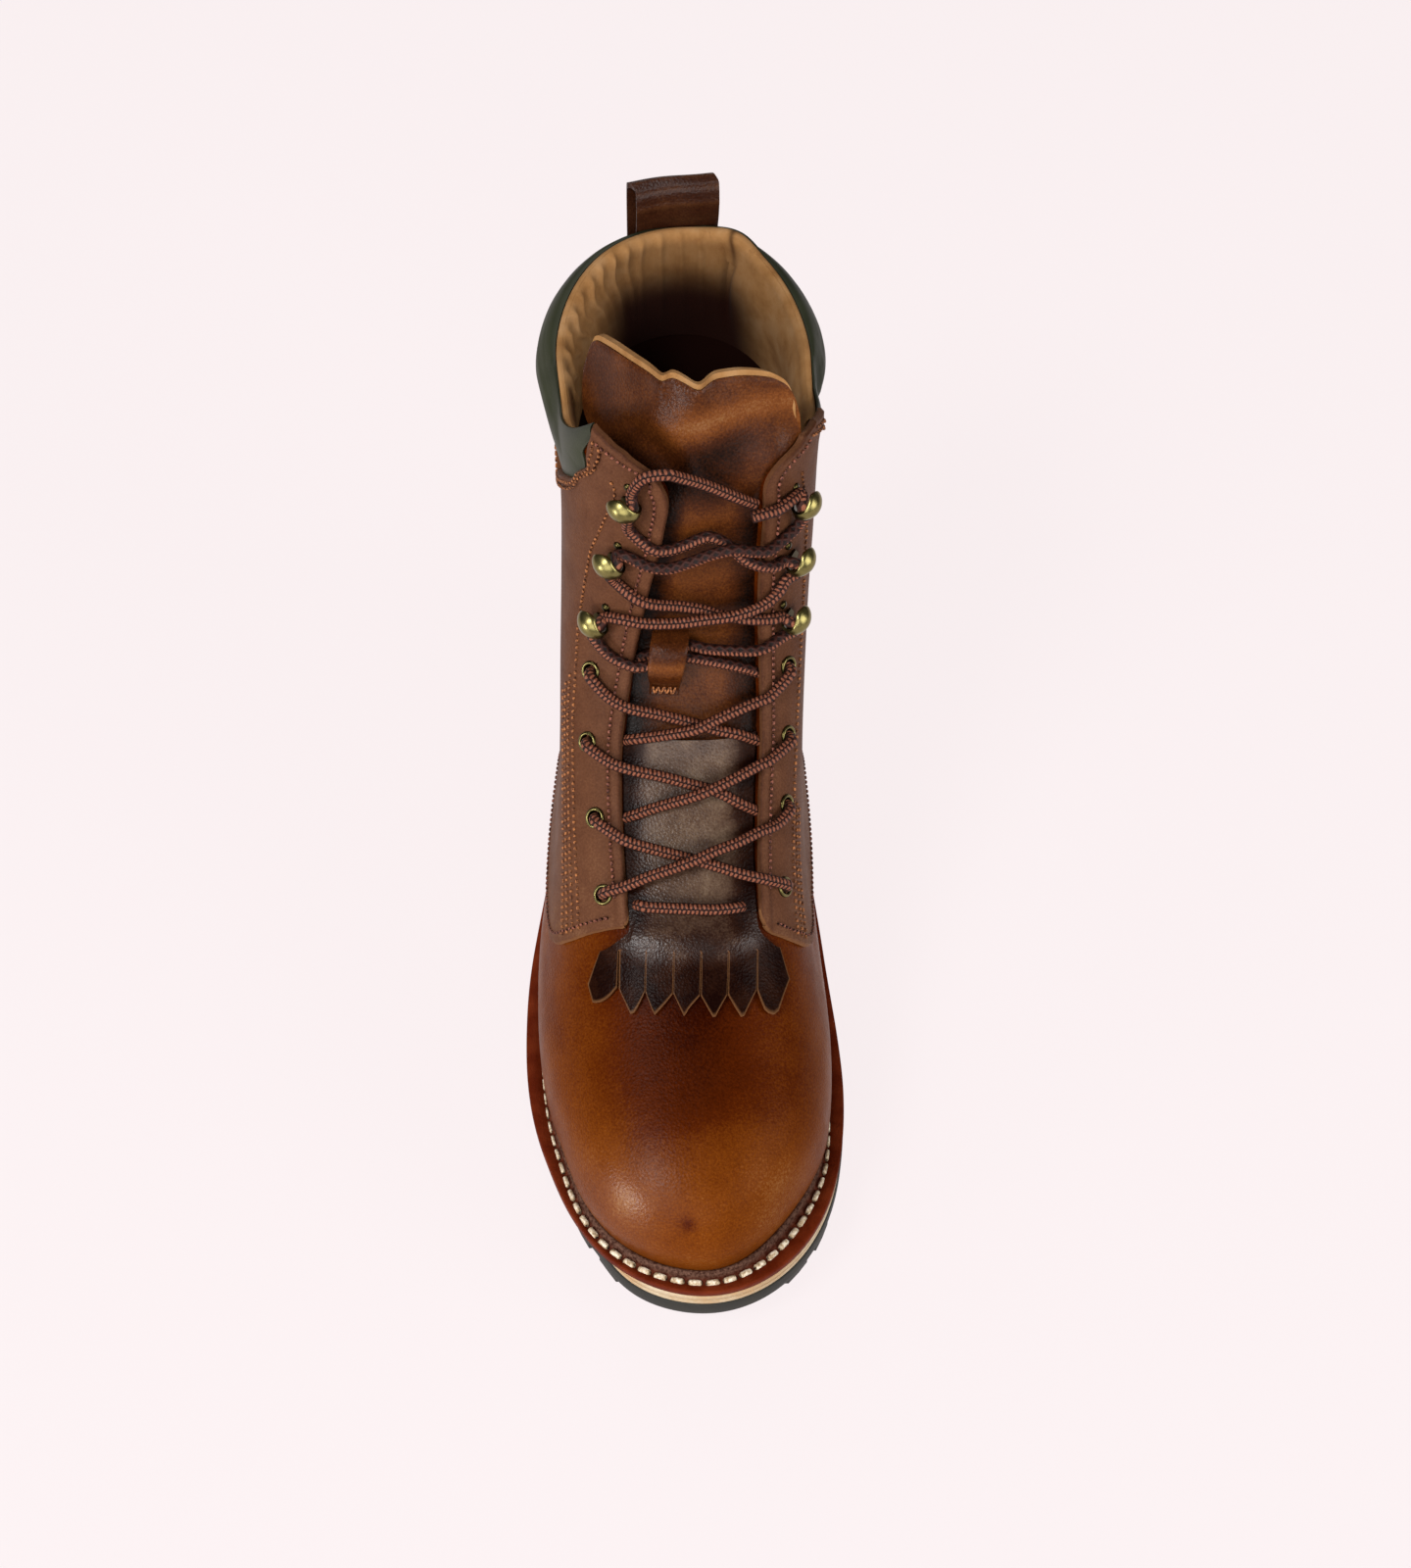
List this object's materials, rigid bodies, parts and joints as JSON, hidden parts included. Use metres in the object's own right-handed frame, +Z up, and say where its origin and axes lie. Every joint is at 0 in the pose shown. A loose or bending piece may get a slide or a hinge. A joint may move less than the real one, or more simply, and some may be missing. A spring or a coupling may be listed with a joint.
{
  "type": "lace-up boot",
  "caption": "Right lace-up work boot with a hollow leather upper, padded collar, fringed kiltie, eyelets and speed hooks on a welted lug sole.",
  "frame": {"origin": "middle of the boot's box on the floor that it stands on", "axes": "+Z up, the toe points to -Y, +X is the medial (inner) side"},
  "size_m": [0.1144, 0.305, 0.2486],
  "materials": {
    "outsole_rubber": "moulded, matt",
    "midsole_rubber": "cut edge, matt",
    "welt_leather": "waxed, stitched",
    "insole_leather": "natural",
    "upper_leather": "waxed pull-up, soft gloss",
    "dark_leather": "oiled, soft gloss",
    "collar_fabric": "smooth padded synthetic",
    "antique_brass": "antique, domed",
    "lace_braid": "round braid"
  },
  "bodies": {
    "root": {"outsole": "outsole_rubber", "heel": "outsole_rubber", "midsole": "midsole_rubber", "welt": "welt_leather", "insole": "insole_leather", "upper": "upper_leather", "quarter_lateral": "upper_leather", "quarter_medial": "upper_leather", "collar": "collar_fabric", "tongue": "upper_leather", "kiltie": "dark_leather", "pull_loop": "dark_leather", "lace_keeper": "upper_leather", "lace_bar": "lace_braid", "lace_end_lateral": "lace_braid", "lace_end_medial": "lace_braid", "eyelet_lateral_1": "antique_brass", "eyelet_lateral_2": "antique_brass", "eyelet_lateral_3": "antique_brass", "eyelet_lateral_4": "antique_brass", "hook_lateral_5": "antique_brass", "hook_lateral_6": "antique_brass", "hook_lateral_7": "antique_brass", "eyelet_medial_1": "antique_brass", "eyelet_medial_2": "antique_brass", "eyelet_medial_3": "antique_brass", "eyelet_medial_4": "antique_brass", "hook_medial_5": "antique_brass", "hook_medial_6": "antique_brass", "hook_medial_7": "antique_brass", "lace_crossing_1": "lace_braid", "lace_crossing_2": "lace_braid", "lace_crossing_3": "lace_braid", "lace_crossing_4": "lace_braid", "lace_crossing_5": "lace_braid", "lace_crossing_6": "lace_braid"}
  },
  "joints": []
}
